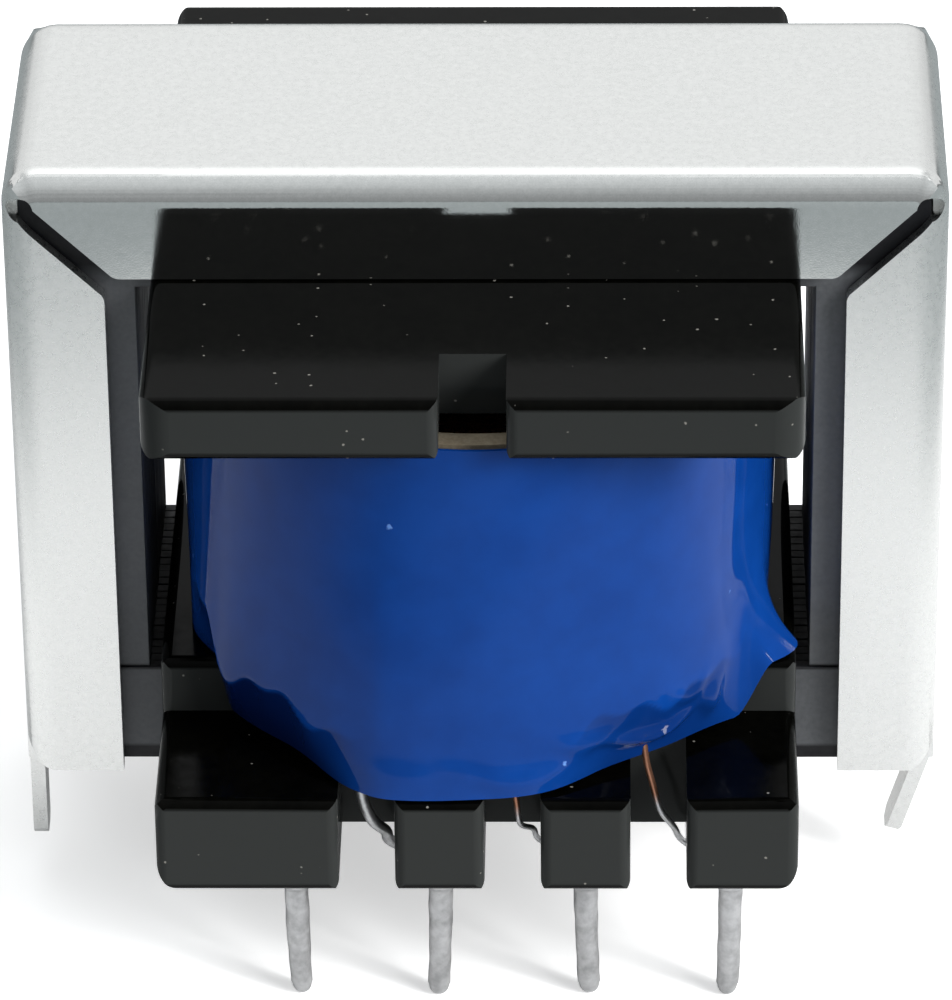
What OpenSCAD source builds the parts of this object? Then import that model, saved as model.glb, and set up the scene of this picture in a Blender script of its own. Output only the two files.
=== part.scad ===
// Small laminated transformer for a circuit board.
// +Z is up, X runs along the pin rows, -Y is the front. The origin is under the middle of the part,
// level with the tips of the pins. All sizes are in millimetres.

/* [Core] */
// Width of the centre leg of the E sheets
centre_leg_w = 6; // [5:0.1:7]
// Width of each outer leg of the E sheets
outer_leg_w = 3; // [2.5:0.1:4]
// Width of each window between two legs
window_w = 6; // [5.6:0.1:7]
// Height of the windows
window_h = 12; // [11:0.1:14]
// Height of the yoke that joins the legs of the E sheets
yoke_h = 3; // [2.8:0.1:4]
// Height of the straight I sheets that close the windows
bar_h = 3; // [2.8:0.1:4]
// Depth of the stack of sheets
stack_d = 8.4; // [7:0.35:10.5]
// Film of varnish between the legs and the I sheets
joint_film = 0.02; // [0.01:0.01:0.05]

/* [Shroud] */
// Thickness of the folded sheet
sheet_t = 0.4; // [0.3:0.05:0.5]
// Clearance between the core and the shroud
core_fit = 0.06; // [0.06:0.01:0.08]
// Inner radius of the folds
bend_r = 0.2; // [0.1:0.01:0.2]
// Height of the lips that hang from the top plate
top_lip_h = 2.95; // [2.4:0.05:3.2]
// Width of the lips that are folded in from the side plates
side_lip_w = 2.67; // [2:0.05:3]
// Gap between the ends of two neighbouring lips, square to the ends
mitre_gap = 0.6; // [0.4:0.05:0.8]
// Radius of the relief hole in each corner
relief_r = 0.4; // [0.3:0.05:0.45]
// Distance from the outer faces of a corner in to its relief hole
relief_in = 0.46; // [0.4:0.02:0.6]
// Radius of the corners of the lips
lip_corner_r = 0.5; // [0.3:0.05:0.8]
// Radius of the lower outer corners of the side lips
lip_foot_r = 0.9; // [0.5:0.05:1.2]
// Width of each of the four tabs
tab_w = 1; // [0.8:0.05:1.5]
// Distance between the middles of the two tabs of a side
tab_spread = 6; // [4:0.1:6.8]
// Size of the cut corners at the tip of a tab
tab_chamfer = 0.25; // [0.15:0.05:0.35]
// How much the tabs are shorter than the pins
tab_short = 1.1; // [0:0.05:1.5]
// Lean of the left tabs towards the middle, in degrees
left_tab_lean = 0; // [0:1:20]
// Lean of the right tabs towards the middle, in degrees
right_tab_lean = 17; // [0:1:20]

/* [Bobbin] */
// Clearance between the bobbin and the core
bobbin_fit = 0.05; // [0.03:0.01:0.1]
// Wall of the tube around the centre leg
tube_wall = 0.7; // [0.5:0.05:0.9]
// Gap between the ends of the flanges and the outer legs
flange_side_gap = 0.42; // [0.3:0.02:0.8]
// Thickness of the top flange inside the windows
top_flange_t = 1.3; // [1:0.05:1.6]
// Gap between the top flange and the lip above it
lip_gap = 0.06; // [0.03:0.01:0.2]
// How far the top flange stands out from the core
top_flange_out = 6.65; // [6:0.05:7.5]
// Thickness of the bottom flange inside the windows
bottom_flange_t = 1.35; // [1:0.05:1.6]
// How far the bottom flange stands out from the core
bottom_flange_out = 1.85; // [1.5:0.05:2.4]
// How far the terminal rails stand out from the core
rail_out = 6.3; // [5.8:0.05:7]
// Height of the terminal rails
rail_h = 2.9; // [2.5:0.05:3.2]
// Height of the bottom of the core above the feet of the rails
seat_gap = 0.1; // [0.05:0.05:0.4]
// Width of the slots between the terminal blocks
slot_w = 1.5; // [1.2:0.05:1.8]
// Depth of the slots, from the face of the rail
slot_depth = 3.35; // [2.8:0.05:3.8]
// Width of the notch in the front end of the top flange
notch_w = 1.75; // [1.4:0.05:2.2]
// Depth of that notch
notch_depth = 2.45; // [1.8:0.05:3]
// Radius of the plan corners of the flanges and rails
corner_r = 0.8; // [0.5:0.05:1.2]
// Radius of the long moulded edges
mould_r = 0.3; // [0.15:0.05:0.4]
// Radius of the lower outer corners of the rails
foot_r = 0.85; // [0.5:0.05:1.2]

/* [Pins] */
// Diameter of a pin
pin_d = 0.64; // [0.5:0.02:0.8]
// Diameter of the thicker root of a pin, to which its lead is soldered
pin_root_d = 1; // [0.96:0.02:1.1]
// Length of the root that stands out of the rail
pin_root_out = 0.45; // [0.4:0.05:0.6]
// Distance between two pins of a row
pin_pitch = 3.9; // [3.7:0.05:4]
// Sideways offset of the pin rows from the middle
pin_row_offset = 0.95; // [0.7:0.05:1.2]
// Distance of the pins from the face of the rail
pin_inset = 1.2; // [1:0.05:1.5]
// Length of a pin below the rail
pin_out = 4.1; // [3.4:0.1:5]
// Length of a pin inside the rail
pin_in = 2; // [1.5:0.1:2.2]
// Radial clearance of a pin in its moulded hole
pin_fit = 0.01; // [0.005:0.005:0.02]

/* [Winding] */
// Gap between the finished coil and the outer legs
coil_side_gap = 1.15; // [0.8:0.05:1.5]
// How far the finished coil stays behind the end of the top flange
coil_end_gap = 0.5; // [0.3:0.05:1.2]
// Gap between the coil and each flange
coil_flange_gap = 0.05; // [0.02:0.01:0.2]
// Depth of the primary winding at its sides
primary_build = 1.85; // [1.4:0.05:2.2]
// Thickness of the insulation between the windings
barrier_t = 0.15; // [0.1:0.01:0.25]
// Thickness of the paper around the secondary winding
paper_t = 0.3; // [0.15:0.05:0.4]
// Thickness of the wraps of blue tape
tape_t = 0.12; // [0.08:0.01:0.2]
// Slack between two layers
layer_gap = 0.02; // [0.01:0.01:0.04]
// Height of the paper and the tape below the top of the windings
wrap_drop = 0.1; // [0:0.05:0.3]
// How far the skirt of the tape hangs over the bottom flange
skirt_drop = 1.3; // [0.9:0.05:1.4]
// Gap between the skirt and the end of the bottom flange
skirt_gap = 0.1; // [0.05:0.05:0.3]

/* [Leads] */
// Diameter of the thickest lead
thick_lead_d = 0.32; // [0.2:0.02:0.34]
// Diameter of the middle lead
thin_lead_d = 0.16; // [0.12:0.02:0.3]
// Diameter of the last lead
last_lead_d = 0.24; // [0.12:0.02:0.34]
// Gap between a lead and the coil or rail beside it
lead_gap = 0.02; // [0.01:0.01:0.05]
// How far a lead stays behind its pin and inside the skirt of the tape
lead_inset = 0.3; // [0.2:0.05:0.5]

/* [Quality] */
// Facets of a full circle
circle_fn = 48; // [32:8:96]

/* [Hidden] */

$fn = circle_fn;
over = 1;                      // how far a cut runs past the solid it cuts
clean_cross = 1.02;            // what a rounded corner is widened by, so that it crosses its edges

// Heights, from the tips of the pins up
seat_z = pin_out;
core_z = seat_z + seat_gap;
window_z = core_z + bar_h;
window_top_z = window_z + window_h;
core_top_z = window_top_z + yoke_h;
shroud_top_z = core_top_z + core_fit + sheet_t;
lip_z = shroud_top_z - top_lip_h;
bottom_flange_z = window_z + bobbin_fit;
spool_z = bottom_flange_z + bottom_flange_t;
top_flange_inner_z = window_top_z - bobbin_fit;
spool_top_z = top_flange_inner_z - top_flange_t;
top_flange_z = lip_z - lip_gap;

// Plan sizes
windows_w = centre_leg_w + 2 * window_w;
core_w = windows_w + 2 * outer_leg_w;
shroud_w = core_w + 2 * (core_fit + sheet_t);
shroud_d = stack_d + 2 * (core_fit + sheet_t);
flange_w = windows_w - 2 * flange_side_gap;
channel_d = stack_d + 2 * bobbin_fit;
hole_w = centre_leg_w + 2 * bobbin_fit;
tube_w = hole_w + 2 * tube_wall;
tube_d = channel_d + 2 * tube_wall;
rail_y = stack_d / 2 + rail_out;
top_flange_y = stack_d / 2 + top_flange_out;
bottom_flange_y = stack_d / 2 + bottom_flange_out;

// Pins and slots along a row
pin_r = pin_d / 2;
pin_root_r = pin_root_d / 2;
pin_y = rail_y - pin_inset;
pin_xs = [for (i = [-1.5:1.5]) pin_row_offset + i * pin_pitch];
slot_xs = [for (i = [-1:1]) pin_row_offset + i * pin_pitch];

// The coil's outlines are two half circles joined by straight sides. They share their centres.
coil_r = windows_w / 2 - coil_side_gap;
coil_centre_y = top_flange_y - coil_end_gap - coil_r;
coil_z = spool_z + coil_flange_gap;
coil_top_z = spool_top_z - coil_flange_gap;
wrap_top_z = coil_top_z - wrap_drop;
tape_in_r = coil_r - tape_t;
paper_out_r = tape_in_r - layer_gap;
paper_in_r = paper_out_r - paper_t;
secondary_out_r = paper_in_r - layer_gap;
primary_out_r = tube_w / 2 + layer_gap + primary_build;
barrier_in_r = primary_out_r + layer_gap;
barrier_out_r = barrier_in_r + barrier_t;
secondary_in_r = barrier_out_r + layer_gap;

// Leads, one for each slot: each starts near the middle of its slot, under the windings
lead_ds = [thick_lead_d, thin_lead_d, last_lead_d];
lead_start_xs = [-0.15, 0, -0.25];
lead_zs = [3.1, 2.2, 1.3, 0.55, 0.1];  // heights above the seat that a lead passes in its slot
lead_sway = 0.15;              // how far it swings to either side of a straight line
lead_web_gap = 0.8;            // its distance from the end of the slot where it leaves
lead_sides = 8;
lead_steps = 4;                // rings between two points of a lead's route

// Outlines

module rounded_rect(w, h, r) {
    square([w - 2 * r, h], center = true);
    square([w, h - 2 * r], center = true);
    for (x = [-1, 1], y = [-1, 1])
        translate([x * (w / 2 - r), y * (h / 2 - r)]) circle(r);
}

// Two half circles of radius r, whose centres lie coil_centre_y before and behind the middle
module coil_outline(r) {
    square([2 * r, 2 * coil_centre_y], center = true);
    for (y = [-1, 1]) translate([0, y * coil_centre_y]) circle(r);
}

// What rounds off the corner of a plate between its edges along the unit vectors a and b
module corner_off(corner, a, b, r) {
    half = acos(a * b) / 2;
    middle = (a + b) / norm(a + b);
    reach = r / tan(half);
    centre = corner + middle * r / sin(half);
    difference() {
        polygon([corner - middle * r, corner + a * reach, centre, corner + b * reach]);
        translate(centre) circle(r * clean_cross);
    }
}

// Fillets where a slot of width w, which ends at y = 0, opens towards negative y
module slot_mouth(w, r) {
    for (x = [-1, 1]) difference() {
        translate([x * w / 2, 0]) square(2 * r, center = true);
        translate([x * (w / 2 + r), r]) circle(r);
        translate([x * (w / 2 + 3 * r), 0]) square(4 * r, center = true);
        translate([x * w / 2, 2 * r]) square(2 * r, center = true);
    }
}

// A box centred on the origin, with rounded edges as seen from above, from the front and from a side
module soft_box(size, plan_r, front_r, side_r) {
    intersection() {
        linear_extrude(size.z, center = true) rounded_rect(size.x, size.y, plan_r);
        rotate([90, 0, 0]) linear_extrude(size.y, center = true) rounded_rect(size.x, size.z, front_r);
        rotate([90, 0, 90]) linear_extrude(size.x, center = true) rounded_rect(size.y, size.z, side_r);
    }
}

// Extrudes an outline drawn in X and Z through the whole depth d
module through_y(d) {
    rotate([90, 0, 0]) linear_extrude(d, center = true) children();
}

// Does the same for the front and the rear
module front_and_rear() {
    children();
    mirror([0, 1, 0]) children();
}

// Core

module e_core() {
    color("dimgray") through_y(stack_d) difference() {
        translate([-core_w / 2, window_z + joint_film])
            square([core_w, core_top_z - window_z - joint_film]);
        for (x = [-1, 1])
            translate([x * (centre_leg_w + window_w) / 2 - window_w / 2, window_z - over])
                square([window_w, window_h + over]);
    }
}

module i_core() {
    color("dimgray") translate([-core_w / 2, -stack_d / 2, core_z]) cube([core_w, stack_d, bar_h]);
}

// Shroud: one folded sheet, open at the bottom, with lips over the front and rear faces of the core

module core_envelope(grow, fold_r) {
    top = core_top_z + grow;
    bottom = seat_z - 2 * over;
    translate([0, 0, (top + bottom) / 2])
        soft_box([core_w + 2 * grow, stack_d + 2 * grow, top - bottom], fold_r, fold_r, fold_r);
}

// The ends of the top lips lie on a line at 45 degrees from the upper corner of the shroud
function mitre_x(z) = shroud_w / 2 - (shroud_top_z - z);

// The opening between the lips and the mitred gap between their ends, in X and Z, on the right
module lip_cuts() {
    out = [1, 1] / sqrt(2);
    across = [-1, 1] / sqrt(2) * mitre_gap / 2;
    step = mitre_gap * sqrt(2);
    side_x = shroud_w / 2 - side_lip_w;
    top_corner = [mitre_x(lip_z), lip_z];
    side_corner = [side_x, lip_z + side_x - mitre_x(lip_z) - step];
    relief_x = shroud_w / 2 - relief_in;
    relief = [relief_x, lip_z + relief_x - mitre_x(lip_z) - step / 2];
    polygon([[0, seat_z - over], [side_x, seat_z - over], side_corner, relief - across,
             relief + across, top_corner, [0, lip_z]]);
    translate(relief) circle(relief_r);
    corner_off(top_corner, [-1, 0], out, lip_corner_r);
    corner_off(side_corner, [0, -1], out, lip_corner_r);
    corner_off([shroud_w / 2, seat_z], [-1, 0], [0, 1], lip_foot_r);
}

module tab(lean) {
    rotate([0, lean, 0]) {
        translate([0, tab_w / 2, 0]) rotate([90, 0, 0]) cylinder(tab_w, r = sheet_t / 2);
        rotate([90, 0, 90]) linear_extrude(sheet_t, center = true) difference() {
            translate([-tab_w / 2, -(pin_out - tab_short)]) square([tab_w, pin_out - tab_short]);
            for (y = [-1, 1]) translate([y * tab_w / 2, -(pin_out - tab_short)]) rotate(45)
                square(tab_chamfer * sqrt(2), center = true);
        }
    }
}

module shroud() {
    tab_x = shroud_w / 2 - sheet_t / 2;
    cut_d = sheet_t + bend_r + core_fit;
    color("gainsboro") {
        difference() {
            intersection() {
                core_envelope(core_fit + sheet_t, bend_r + sheet_t);
                translate([0, 0, seat_z + (shroud_top_z - seat_z) / 2])
                    cube([shroud_w + over, shroud_d + over, shroud_top_z - seat_z], center = true);
            }
            core_envelope(core_fit, bend_r);
            for (x = [0, 1], y = [-1, 1]) mirror([x, 0, 0])
                translate([0, y * (shroud_d / 2 + over / 2 - cut_d / 2), 0])
                    through_y(cut_d + over) lip_cuts();
        }
        for (y = [-1, 1]) {
            translate([-tab_x, y * tab_spread / 2, seat_z]) tab(-left_tab_lean);
            translate([tab_x, y * tab_spread / 2, seat_z]) tab(right_tab_lean);
        }
    }
}

// Bobbin: one moulding with two flanges, and a terminal rail at the front and the rear

module rail_slots() {
    for (x = slot_xs) {
        translate([x - slot_w / 2, -rail_y - over, seat_z - over])
            cube([slot_w, slot_depth + over, rail_h + 2 * over]);
        translate([x, -rail_y, seat_z - over]) linear_extrude(rail_h + 2 * over)
            slot_mouth(slot_w, mould_r);
        translate([x, -rail_y - over, seat_z]) rotate([90, 0, 0]) translate([0, 0, -slot_depth - over])
            linear_extrude(slot_depth + over) slot_mouth(slot_w, mould_r);
    }
}

module pin_holes() {
    for (x = pin_xs)
        translate([x, -pin_y, seat_z - over]) cylinder(pin_in + over, r = pin_root_r + pin_fit);
}

module flange_notch() {
    height = top_flange_z - spool_top_z + 2 * over;
    translate([0, -top_flange_y, spool_top_z - over]) {
        translate([-notch_w / 2, -over, 0]) cube([notch_w, notch_depth + over, height]);
        linear_extrude(height) slot_mouth(notch_w, mould_r);
    }
    translate([0, -top_flange_y + notch_depth, spool_top_z]) rotate([90, 0, 0])
        linear_extrude(notch_depth + over) slot_mouth(notch_w, mould_r);
}

module top_flange() {
    height = top_flange_z - spool_top_z;
    difference() {
        translate([0, 0, spool_top_z + height / 2])
            soft_box([flange_w, 2 * top_flange_y, height], corner_r, mould_r, mould_r);
        translate([-core_w / 2, -channel_d / 2, top_flange_inner_z]) cube([core_w, channel_d, over]);
        flange_notch();
    }
}

module bottom_flange_and_rails() {
    flange_h = spool_z - seat_z;
    difference() {
        union() {
            translate([0, 0, seat_z + flange_h / 2])
                soft_box([flange_w, 2 * bottom_flange_y, flange_h], mould_r, mould_r, mould_r);
            translate([0, 0, seat_z + rail_h / 2])
                soft_box([flange_w, 2 * rail_y, rail_h], mould_r, foot_r, mould_r);
            translate([0, 0, seat_z + rail_h * 3 / 4])
                soft_box([flange_w, 2 * rail_y, rail_h / 2], mould_r, mould_r, mould_r);
        }
        translate([-core_w / 2, -channel_d / 2, seat_z - over])
            cube([core_w, channel_d, bottom_flange_z - seat_z + over]);
        front_and_rear() {
            rail_slots();
            pin_holes();
        }
    }
}

module bobbin() {
    color([0.1, 0.1, 0.1]) difference() {
        union() {
            top_flange();
            bottom_flange_and_rails();
            translate([-tube_w / 2, -tube_d / 2, bottom_flange_z])
                cube([tube_w, tube_d, top_flange_inner_z - bottom_flange_z]);
        }
        translate([-hole_w / 2, -channel_d / 2, bottom_flange_z - over])
            cube([hole_w, channel_d, top_flange_inner_z - bottom_flange_z + 2 * over]);
    }
}

// Coil

module coil_ring(out_r, in_r, z, top_z) {
    translate([0, 0, z]) linear_extrude(top_z - z) difference() {
        coil_outline(out_r);
        coil_outline(in_r);
    }
}

module primary_winding() {
    color("chocolate") difference() {
        translate([0, 0, coil_z]) linear_extrude(coil_top_z - coil_z) coil_outline(primary_out_r);
        translate([-tube_w / 2 - layer_gap, -tube_d / 2 - layer_gap, coil_z - over])
            cube([tube_w + 2 * layer_gap, tube_d + 2 * layer_gap, coil_top_z - coil_z + 2 * over]);
    }
}

module winding_barrier() {
    color("khaki") coil_ring(barrier_out_r, barrier_in_r, coil_z, coil_top_z);
}

module secondary_winding() {
    color("sienna") coil_ring(secondary_out_r, secondary_in_r, coil_z, coil_top_z);
}

module paper_wrap() {
    color("tan") coil_ring(paper_out_r, paper_in_r, coil_z, wrap_top_z);
}

module outer_tape() {
    skirt_y = bottom_flange_y + skirt_gap;
    skirt_z = coil_z - skirt_drop;
    color("royalblue") {
        coil_ring(coil_r, tape_in_r, coil_z, wrap_top_z);
        difference() {
            coil_ring(coil_r, tape_in_r, skirt_z, coil_z + layer_gap);
            translate([-coil_r - over, -skirt_y, skirt_z - over])
                cube([2 * (coil_r + over), 2 * skirt_y, coil_z + layer_gap - skirt_z + 2 * over]);
        }
    }
}

// Pins

module pin(x) {
    color("silver") translate([x, -pin_y, 0]) {
        translate([0, 0, seat_z - pin_root_out])
            cylinder(pin_root_out + pin_in - pin_fit, r = pin_root_r);
        translate([0, 0, pin_r]) cylinder(seat_z - pin_r, r = pin_r);
        translate([0, 0, pin_r]) sphere(pin_r);
    }
}

module rear_pin(x) {
    mirror([0, 1, 0]) pin(x);
}

// Leads: each leaves the coil's underside, goes down a slot and ends at the root of the next pin

// A point at u, from 0 to 1, on the smooth curve from b to c, with the neighbours a and d
function curve_point(a, b, c, d, u) =
    (2 * b + (c - a) * u + (2 * a - 5 * b + 4 * c - d) * u * u
     + (3 * b - a - 3 * c + d) * u * u * u) / 2;

function route_points(pts) =
    let (last = len(pts) - 1)
    [for (i = [0:last - 1], s = [0:lead_steps - 1])
        curve_point(pts[max(i - 1, 0)], pts[i], pts[i + 1], pts[min(i + 2, last)], s / lead_steps)];

// How far out the coil's skirt hangs in line with a slot
function skirt_reach(x) = coil_centre_y + sqrt(pow(tape_in_r, 2) - x * x);

// Places on lead i's way down its slot, from the slot's middle and the height of the seat
function slot_route(i) =
    let (d = lead_ds[i],
         x = lead_start_xs[i],
         side = slot_w / 2 - d / 2 - lead_gap,
         top_y = min(pin_y, skirt_reach(slot_xs[i])) - lead_inset,
         web_y = rail_y - slot_depth + lead_web_gap)
    [[x, -top_y + lead_sway, coil_z - seat_z - lead_gap - d / 4],
     [x, -top_y, lead_zs[0]],
     [x + lead_sway, -top_y, lead_zs[1]],
     [lead_sway, -top_y + lead_sway, lead_zs[2]],
     [side - lead_sway, -web_y - lead_sway, lead_zs[3]],
     [side - lead_gap, -web_y, lead_zs[4]],
     [side + lead_sway, -web_y, -2 * lead_gap - d / 2]];

function unit(v) = v / norm(v);

// The end of a lead, straight from its slot towards the pin and just short of the pin's root
function lead_end(slot_end, d) =
    let (pin = [pin_pitch / 2, -pin_y, -lead_gap - d / 2],
         away = [slot_end.x - pin.x, slot_end.y - pin.y, 0])
    pin + (pin_root_r + 2 * lead_gap) * unit(away);

// A tube of diameter d along a list of points
module tube(pts, d) {
    n = len(pts);
    rings = [for (i = [0:n - 1])
        let (along = unit(pts[min(i + 1, n - 1)] - pts[max(i - 1, 0)]),
             side = unit(cross(along, abs(along.y) < 0.9 ? [0, 1, 0] : [0, 0, 1])),
             up = cross(side, along))
        for (k = [0:lead_sides - 1])
            let (a = 360 * k / lead_sides)
            pts[i] + d / 2 * (cos(a) * side + sin(a) * up)];
    walls = [for (i = [0:n - 2], k = [0:lead_sides - 1])
        let (next = (k + 1) % lead_sides, a = i * lead_sides, b = a + lead_sides)
        [a + k, a + next, b + next, b + k]];
    first_end = [for (k = [lead_sides - 1:-1:0]) k];
    last_end = [for (k = [0:lead_sides - 1]) (n - 1) * lead_sides + k];
    polyhedron(rings, concat(walls, [first_end, last_end]), convexity = 6);
}

// Lead number i of a row, which goes to the pin after its slot
module lead(i) {
    down = slot_route(i);
    end = lead_end(down[len(down) - 1], lead_ds[i]);
    translate([slot_xs[i], 0, seat_z])
        tube(concat(route_points(concat(down, [end])), [end]), lead_ds[i]);
}

module front_lead(i) {
    color("peru") lead(i);
}

module rear_lead(i) {
    color("peru") mirror([0, 1, 0]) lead(i);
}

shroud();
e_core();
i_core();
bobbin();
primary_winding();
winding_barrier();
secondary_winding();
paper_wrap();
outer_tape();
pin(pin_xs[0]);  // front_pin_1
pin(pin_xs[1]);  // front_pin_2
pin(pin_xs[2]);  // front_pin_3
pin(pin_xs[3]);  // front_pin_4
rear_pin(pin_xs[0]);  // rear_pin_1
rear_pin(pin_xs[1]);  // rear_pin_2
rear_pin(pin_xs[2]);  // rear_pin_3
rear_pin(pin_xs[3]);  // rear_pin_4
front_lead(0);  // front_lead_1
front_lead(1);  // front_lead_2
front_lead(2);  // front_lead_3
rear_lead(0);  // rear_lead_1
rear_lead(1);  // rear_lead_2
rear_lead(2);  // rear_lead_3
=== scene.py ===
# %% [markdown]
# # A small board-mounted transformer
#
# This lesson dresses a finished CAD model of a small laminated transformer: a folded, tinned steel
# shroud over a core of thin sheets, a glossy black bobbin, a coil under blue tape, and eight tinned
# pins. The CAD model gives every place and size, so each new surface here starts from its boxes.
# +Z is up, X runs along the pin rows, and the front looks towards -Y. The unit is the metre.

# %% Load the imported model
import math

import bmesh
import bpy
import numpy as np
from mathutils import Matrix, Vector


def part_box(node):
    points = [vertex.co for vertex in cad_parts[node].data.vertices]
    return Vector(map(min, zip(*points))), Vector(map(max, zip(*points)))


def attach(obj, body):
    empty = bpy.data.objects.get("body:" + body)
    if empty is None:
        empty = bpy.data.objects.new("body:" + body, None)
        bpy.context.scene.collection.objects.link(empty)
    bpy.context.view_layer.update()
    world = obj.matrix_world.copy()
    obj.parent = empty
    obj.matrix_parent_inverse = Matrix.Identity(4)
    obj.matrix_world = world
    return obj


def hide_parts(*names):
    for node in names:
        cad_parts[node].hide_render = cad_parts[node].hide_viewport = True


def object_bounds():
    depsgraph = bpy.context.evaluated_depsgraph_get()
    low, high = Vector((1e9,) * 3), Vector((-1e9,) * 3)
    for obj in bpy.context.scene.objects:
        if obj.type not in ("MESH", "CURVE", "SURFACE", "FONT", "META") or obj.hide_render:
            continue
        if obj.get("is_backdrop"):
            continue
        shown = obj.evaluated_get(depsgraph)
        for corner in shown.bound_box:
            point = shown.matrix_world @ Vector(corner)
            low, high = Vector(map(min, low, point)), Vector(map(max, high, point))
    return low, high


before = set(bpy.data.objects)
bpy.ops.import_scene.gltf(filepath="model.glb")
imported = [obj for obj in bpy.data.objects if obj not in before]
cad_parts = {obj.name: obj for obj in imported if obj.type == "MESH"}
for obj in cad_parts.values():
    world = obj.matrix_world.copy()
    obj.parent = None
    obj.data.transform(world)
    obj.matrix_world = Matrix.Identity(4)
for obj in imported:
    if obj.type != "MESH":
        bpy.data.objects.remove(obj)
cad_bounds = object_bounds()
MM = 0.001
print("CAD nodes:", len(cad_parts))

# %% [markdown]
# ## Surfaces from grids
#
# Most new pieces are surfaces with two parameters, u and v. NumPy works out all the points at once,
# as an array of shape (u, v, 3) in millimetres, and the mesh joins each point to its neighbours. A
# tube wraps round in one direction, and a closed ring wraps in both. Open ends get a flat cap, so
# that every piece is a closed solid, and Blender turns all its faces outwards.


# %% Make a mesh from a grid of points
def finish_mesh(mesh, sharp_deg):
    """Turns the faces of a closed mesh outwards and smooths every edge flatter than sharp_deg."""
    work = bmesh.new()
    work.from_mesh(mesh)
    bmesh.ops.recalc_face_normals(work, faces=work.faces)
    work.to_mesh(mesh)
    work.free()
    mesh.shade_smooth()
    mesh.set_sharp_from_angle(angle=math.radians(sharp_deg))
    return mesh


def surface(name, points, wrap_u=False, wrap_v=False, sharp_deg=40):
    """Joins point (i, j) with (i + 1, j), (i + 1, j + 1) and (i, j + 1), all round where it wraps, and
    caps the first and last row where only v wraps."""
    index = np.arange(points.shape[0] * points.shape[1]).reshape(points.shape[:2])
    first, last = index[0], index[-1]
    if wrap_u:
        index = np.concatenate([index, index[:1]])
    if wrap_v:
        index = np.concatenate([index, index[:, :1]], axis=1)
    quads = np.stack([index[:-1, :-1], index[1:, :-1], index[1:, 1:], index[:-1, 1:]], axis=-1)
    faces = quads.reshape(-1, 4).tolist()
    if wrap_v and not wrap_u:
        faces += [first[::-1].tolist(), last.tolist()]
    mesh = bpy.data.meshes.new(name)
    mesh.from_pydata((points.reshape(-1, 3) * MM).tolist(), [], faces)
    return finish_mesh(mesh, sharp_deg)


def smooth_step(x):
    """0 below 0, 1 above 1, and 3x^2 - 2x^3 between them."""
    x = np.clip(x, 0, 1)
    return x * x * (3 - 2 * x)


def through(places, steps, closed=False):
    """A smooth curve through given places: each stretch is the cubic that starts and ends in the
    direction from the place before it to the place after it."""
    places = np.array(places, float)
    if closed:
        a, b, c, d = (np.roll(places, shift, axis=0) for shift in (1, 0, -1, -2))
    else:
        padded = np.concatenate([places[:1], places, places[-1:]])
        a, b, c, d = padded[:-3], padded[1:-2], padded[2:-1], padded[3:]
    u = np.linspace(0, 1, steps, endpoint=False)[None, :, None]
    a, b, c, d = (p[:, None, :] for p in (a, b, c, d))
    curve = (2 * b + (c - a) * u + (2 * a - 5 * b + 4 * c - d) * u**2 + (3 * b - a - 3 * c + d) * u**3) / 2
    curve = curve.reshape(-1, places.shape[1])
    return curve if closed else np.concatenate([curve, places[-1:]])


def evenly(curve, count):
    """The same curve with its points at equal distances along it."""
    along = np.concatenate([[0], np.cumsum(np.linalg.norm(np.diff(curve, axis=0), axis=1))])
    at = np.linspace(0, along[-1], count)
    return np.stack([np.interp(at, along, curve[:, k]) for k in range(curve.shape[1])], axis=1)


# %% [markdown]
# Each piece rides on the only body, takes its finish from a material slot, and stands for the CAD
# nodes that it replaces. One helper does all of that, and says what it made.


# %% Put a piece in the scene
def add_piece(name, mesh, material, slot, *nodes):
    """Links the mesh as an object that rides on the body and replaces the named nodes."""
    piece = bpy.data.objects.new(name, mesh)
    bpy.context.scene.collection.objects.link(piece)
    mesh.materials.clear()
    mesh.materials.append(material)
    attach(piece, "root")
    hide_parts(*nodes)
    print(name, "faces:", len(mesh.polygons))
    return piece


# %% [markdown]
# ## Effects that several finishes share
#
# Nothing on a real part is one flat colour. Two node groups give the small changes: a soft
# mottling for casting, rolling and handling, and a sprinkle of dust. Each is built once, and each
# finish sets its own scale.


# %% Node helpers
def add_node(tree, kind, values=None, **settings):
    """Adds a shader node, sets its properties, and sets or links its inputs."""
    node = tree.nodes.new(kind)
    for key, value in settings.items():
        setattr(node, key, value)
    for key, value in (values or {}).items():
        if isinstance(value, bpy.types.NodeSocket):
            tree.links.new(value, node.inputs[key])
        else:
            node.inputs[key].default_value = value
    return node


def new_group(name, inputs, outputs):
    """Makes an empty shader group with number inputs, given with their defaults, and number outputs."""
    group = bpy.data.node_groups.new(name, "ShaderNodeTree")
    for label, default in inputs.items():
        socket = group.interface.new_socket(label, in_out="INPUT", socket_type="NodeSocketFloat")
        socket.default_value = default
    for label in outputs:
        group.interface.new_socket(label, in_out="OUTPUT", socket_type="NodeSocketFloat")
    return group, add_node(group, "NodeGroupInput"), add_node(group, "NodeGroupOutput")


def use_group(tree, group, **values):
    """Places a group in a material's tree, with its own values."""
    node = tree.nodes.new("ShaderNodeGroup")
    node.node_tree = group
    for label, value in values.items():
        node.inputs[label].default_value = value
    return node


def mix_colors(tree, mask, first, second):
    """Mixes two colours, each a plain colour or another node's output, by a mask. A Mix node has one set
    of sockets for each kind of data, so the colour sockets are picked out by their type."""
    node = add_node(tree, "ShaderNodeMix", {0: mask}, data_type="RGBA")
    for socket, value in zip([s for s in node.inputs if s.type == "RGBA"], (first, second)):
        if isinstance(value, bpy.types.NodeSocket):
            tree.links.new(value, socket)
        else:
            socket.default_value = value + (1.0,)
    return next(s for s in node.outputs if s.type == "RGBA")


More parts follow.
